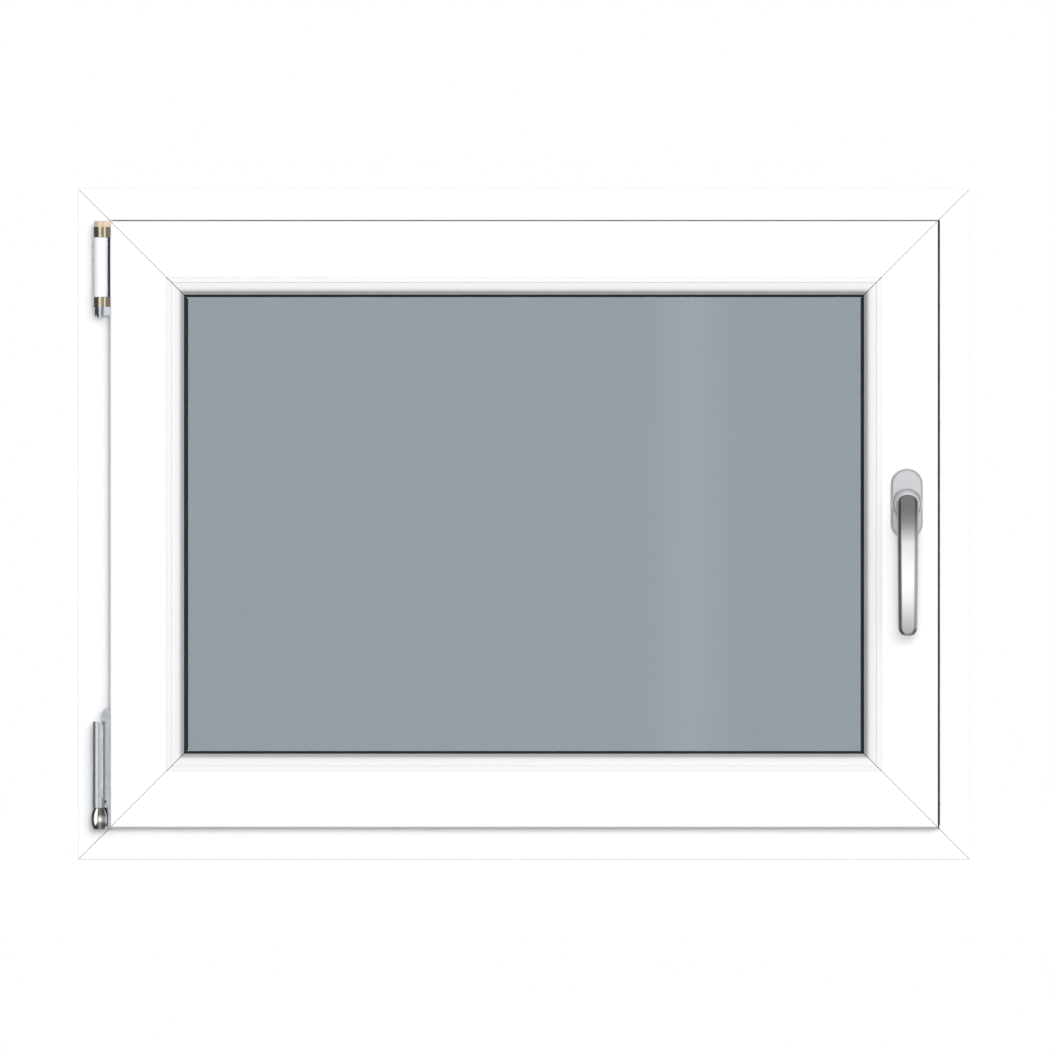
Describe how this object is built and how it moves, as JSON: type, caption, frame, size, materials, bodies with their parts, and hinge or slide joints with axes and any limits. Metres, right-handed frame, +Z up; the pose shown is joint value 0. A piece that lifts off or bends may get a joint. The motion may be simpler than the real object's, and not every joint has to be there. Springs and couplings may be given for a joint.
{
  "type": "tilt-and-turn window",
  "caption": "White plastic tilt-and-turn window with one glazed sash, mitred welded corners, black seals, a satin lever handle and exposed hinges, closed.",
  "frame": {"origin": "middle of the frame's underside: half-way along the width and half-way through the frame's depth", "axes": "+X to the handle side, +Y out through the wall to the weather side, +Z up; the room is on the -Y side"},
  "size_m": [0.9, 0.163, 0.677],
  "materials": {
    "white_profile": "smooth satin",
    "white_cover": "satin moulded",
    "black_seal": "matt extruded",
    "clear_glass": "polished float",
    "spacer_metal": "mill, perforated",
    "handle_metal": "satin brushed",
    "rosette_metal": "satin",
    "zinc_hardware": "bluish zinc plate",
    "yellow_zinc": "pale yellow passivated zinc",
    "bright_steel": "bright plated"
  },
  "bodies": {
    "window": {"bead_bottom": "white_profile", "bead_gasket": "black_seal", "bead_handle_side": "white_profile", "bead_hinge_side": "white_profile", "bead_top": "white_profile", "corner_bearing_bracket": "zinc_hardware", "corner_bearing_pivot": "bright_steel", "corner_hinge_band": "zinc_hardware", "drain_cap_left": "white_cover", "drain_cap_right": "white_cover", "frame_gasket": "black_seal", "frame_handle_jamb": "white_profile", "frame_head": "white_profile", "frame_hinge_jamb": "white_profile", "frame_sill": "white_profile", "glass_inner_pane": "clear_glass", "glass_outer_pane": "clear_glass", "glass_spacer": "spacer_metal", "handle_collar": "rosette_metal", "handle_rosette": "rosette_metal", "outer_glazing_gasket": "black_seal", "sash_bottom_rail": "white_profile", "sash_gasket": "black_seal", "sash_handle_stile": "white_profile", "sash_hinge_stile": "white_profile", "sash_top_rail": "white_profile", "stay_arm_band": "zinc_hardware", "stay_bearing_bracket": "zinc_hardware", "stay_bearing_cap": "white_cover", "stay_bearing_pin": "bright_steel", "stay_top_strap": "yellow_zinc"},
    "handle": {"handle_lever": "handle_metal"}
  },
  "joints": [
    {"name": "handle_turn", "type": "hinge", "parent": "window", "child": "handle", "pos_m": [0.3855, -0.061, 0.359], "axis": [0, 1, 0], "range_deg": [0, 180]}
  ]
}
